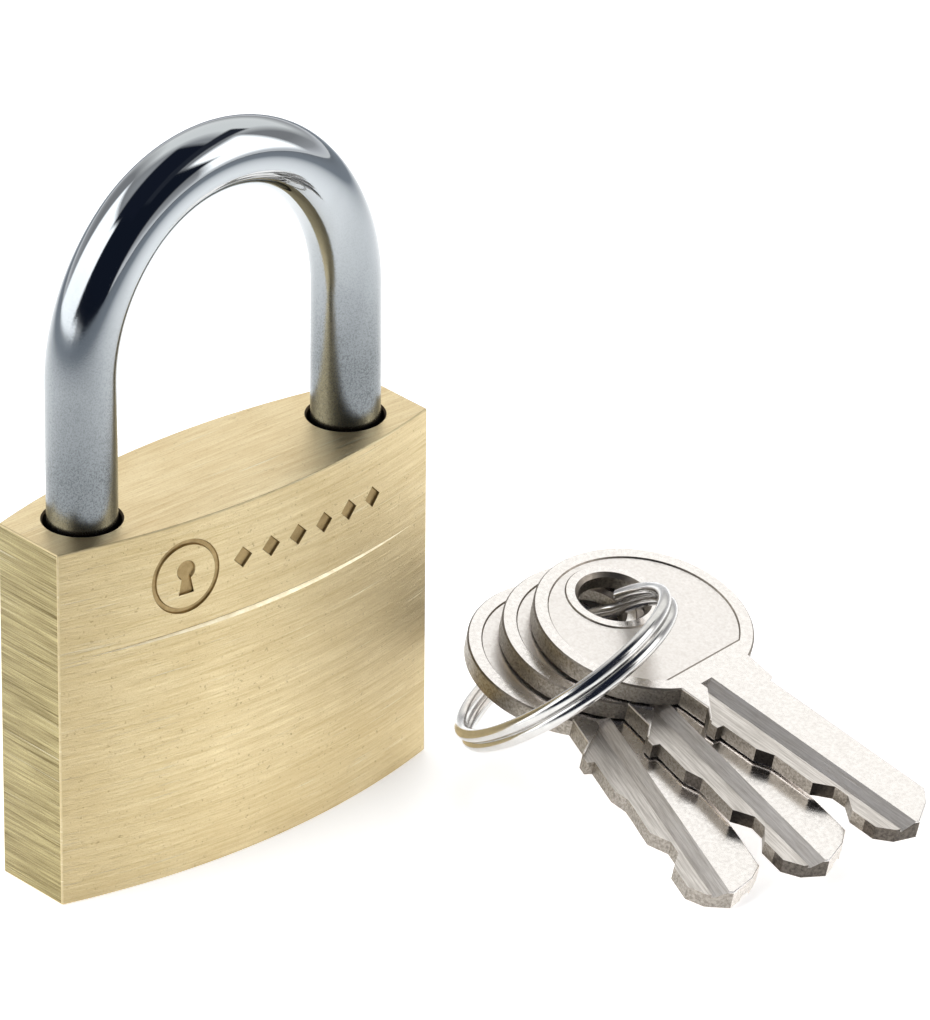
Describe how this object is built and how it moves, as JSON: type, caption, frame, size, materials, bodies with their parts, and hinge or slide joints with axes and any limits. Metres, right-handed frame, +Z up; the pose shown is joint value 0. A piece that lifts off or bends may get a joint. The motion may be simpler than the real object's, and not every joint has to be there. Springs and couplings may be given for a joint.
{
  "type": "padlock with keys",
  "caption": "Brass padlock with a chromed swing shackle, a pin cylinder, two shackle bolts, and keys on a split ring beside it.",
  "frame": {"origin": "centre of the underside of the lock's body", "axes": "+X across the body to the toe leg, -Y to the marked front face, +Z up along the shackle"},
  "size_m": [0.0643, 0.0524, 0.0634],
  "materials": {
    "body_brass": "satin brass, brushed lengthwise on the faces and ends",
    "plug_brass": "turned brass",
    "pin_brass": "bright turned brass",
    "shackle_chrome": "polished chromed steel bow, finer satin on the legs",
    "spring_steel": "drawn steel wire",
    "inner_steel": "machined steel",
    "key_nickel": "nickel plate over brass, matt tumbled edges",
    "ring_nickel": "bright nickel plated steel wire"
  },
  "bodies": {
    "lock": {"lock_body": "body_brass", "shackle_spring": "spring_steel", "heel_bolt_spring": "spring_steel", "toe_bolt_spring": "spring_steel", "bolt_bore_plug": "plug_brass", "plug_keeper_pin": "inner_steel", "pin_chamber_caps": "plug_brass", "pin_spring_1": "spring_steel", "pin_spring_2": "spring_steel", "pin_spring_3": "spring_steel", "pin_spring_4": "spring_steel", "pin_spring_5": "spring_steel"},
    "shackle": {"shackle": "shackle_chrome"},
    "plug": {"cylinder_plug": "plug_brass", "bolt_cam": "inner_steel"},
    "toe_bolt": {"toe_bolt": "inner_steel"},
    "heel_bolt": {"heel_bolt": "inner_steel"},
    "key_pin_1": {"key_pin_1": "pin_brass"},
    "key_pin_2": {"key_pin_2": "pin_brass"},
    "key_pin_3": {"key_pin_3": "pin_brass"},
    "key_pin_4": {"key_pin_4": "pin_brass"},
    "key_pin_5": {"key_pin_5": "pin_brass"},
    "driver_pin_1": {"driver_pin_1": "inner_steel"},
    "driver_pin_2": {"driver_pin_2": "inner_steel"},
    "driver_pin_3": {"driver_pin_3": "inner_steel"},
    "driver_pin_4": {"driver_pin_4": "inner_steel"},
    "driver_pin_5": {"driver_pin_5": "inner_steel"},
    "ring": {"split_ring": "ring_nickel"},
    "key_1": {"key_1": "key_nickel"},
    "key_2": {"key_2": "key_nickel"},
    "key_3": {"key_3": "key_nickel"}
  },
  "joints": [
    {"name": "shackle_lift", "type": "slide", "parent": "lock", "child": "shackle", "axis": [0, 0, 1], "range_m": [0, 0.0114], "deforming": ["shackle_spring"]},
    {"name": "plug_turn", "type": "hinge", "parent": "lock", "child": "plug", "pos_m": [0, 0, 0.01], "axis": [0, 0, 1], "range_deg": [-90, 0]},
    {"name": "toe_bolt_slide", "type": "slide", "parent": "lock", "child": "toe_bolt", "axis": [1, 0, 0], "range_m": [0, 0.0016], "deforming": ["toe_bolt_spring"]},
    {"name": "heel_bolt_slide", "type": "slide", "parent": "lock", "child": "heel_bolt", "axis": [-1, 0, 0], "range_m": [0, 0.0016], "deforming": ["heel_bolt_spring"]},
    {"name": "key_pin_1_slide", "type": "slide", "parent": "plug", "child": "key_pin_1", "axis": [0, -1, 0], "range_m": [0, 0.001]},
    {"name": "key_pin_2_slide", "type": "slide", "parent": "plug", "child": "key_pin_2", "axis": [0, -1, 0], "range_m": [0, 0.001]},
    {"name": "key_pin_3_slide", "type": "slide", "parent": "plug", "child": "key_pin_3", "axis": [0, -1, 0], "range_m": [0, 0.001]},
    {"name": "key_pin_4_slide", "type": "slide", "parent": "plug", "child": "key_pin_4", "axis": [0, -1, 0], "range_m": [0, 0.001]},
    {"name": "key_pin_5_slide", "type": "slide", "parent": "plug", "child": "key_pin_5", "axis": [0, -1, 0], "range_m": [0, 0.001]},
    {"name": "driver_pin_1_slide", "type": "slide", "parent": "lock", "child": "driver_pin_1", "axis": [1, 0, 0], "range_m": [0, 0.0012], "stiffness_N_per_m": 60, "springref_m": -0.002, "deforming": ["pin_spring_1"]},
    {"name": "driver_pin_2_slide", "type": "slide", "parent": "lock", "child": "driver_pin_2", "axis": [1, 0, 0], "range_m": [0, 0.0012], "stiffness_N_per_m": 60, "springref_m": -0.002, "deforming": ["pin_spring_2"]},
    {"name": "driver_pin_3_slide", "type": "slide", "parent": "lock", "child": "driver_pin_3", "axis": [1, 0, 0], "range_m": [0, 0.0012], "stiffness_N_per_m": 60, "springref_m": -0.002, "deforming": ["pin_spring_3"]},
    {"name": "driver_pin_4_slide", "type": "slide", "parent": "lock", "child": "driver_pin_4", "axis": [1, 0, 0], "range_m": [0, 0.0012], "stiffness_N_per_m": 60, "springref_m": -0.002, "deforming": ["pin_spring_4"]},
    {"name": "driver_pin_5_slide", "type": "slide", "parent": "lock", "child": "driver_pin_5", "axis": [1, 0, 0], "range_m": [0, 0.0012], "stiffness_N_per_m": 60, "springref_m": -0.002, "deforming": ["pin_spring_5"]},
    {"name": "bunch_lift", "type": "slide", "parent": "lock", "child": "ring", "axis": [0, 0, 1], "range_m": [0, 0.06]},
    {"name": "key_1_swing", "type": "hinge", "parent": "ring", "child": "key_1", "pos_m": [0.03441, -0.01133, 0.01195], "axis": [0.009, -0.235, 0.972], "range_deg": [-5, 12]},
    {"name": "key_2_swing", "type": "hinge", "parent": "ring", "child": "key_2", "pos_m": [0.03331, -0.00944, 0.01041], "axis": [0.009, -0.235, 0.972], "range_deg": [-6, 8]},
    {"name": "key_3_swing", "type": "hinge", "parent": "ring", "child": "key_3", "pos_m": [0.03149, -0.00788, 0.0088], "axis": [0.009, -0.235, 0.972], "range_deg": [-10, 6]}
  ],
  "couplings": [
    {"joint": "toe_bolt_slide", "follows": "plug_turn", "m_per_rad": -0.0010186},
    {"joint": "heel_bolt_slide", "follows": "plug_turn", "m_per_rad": -0.0010186}
  ]
}
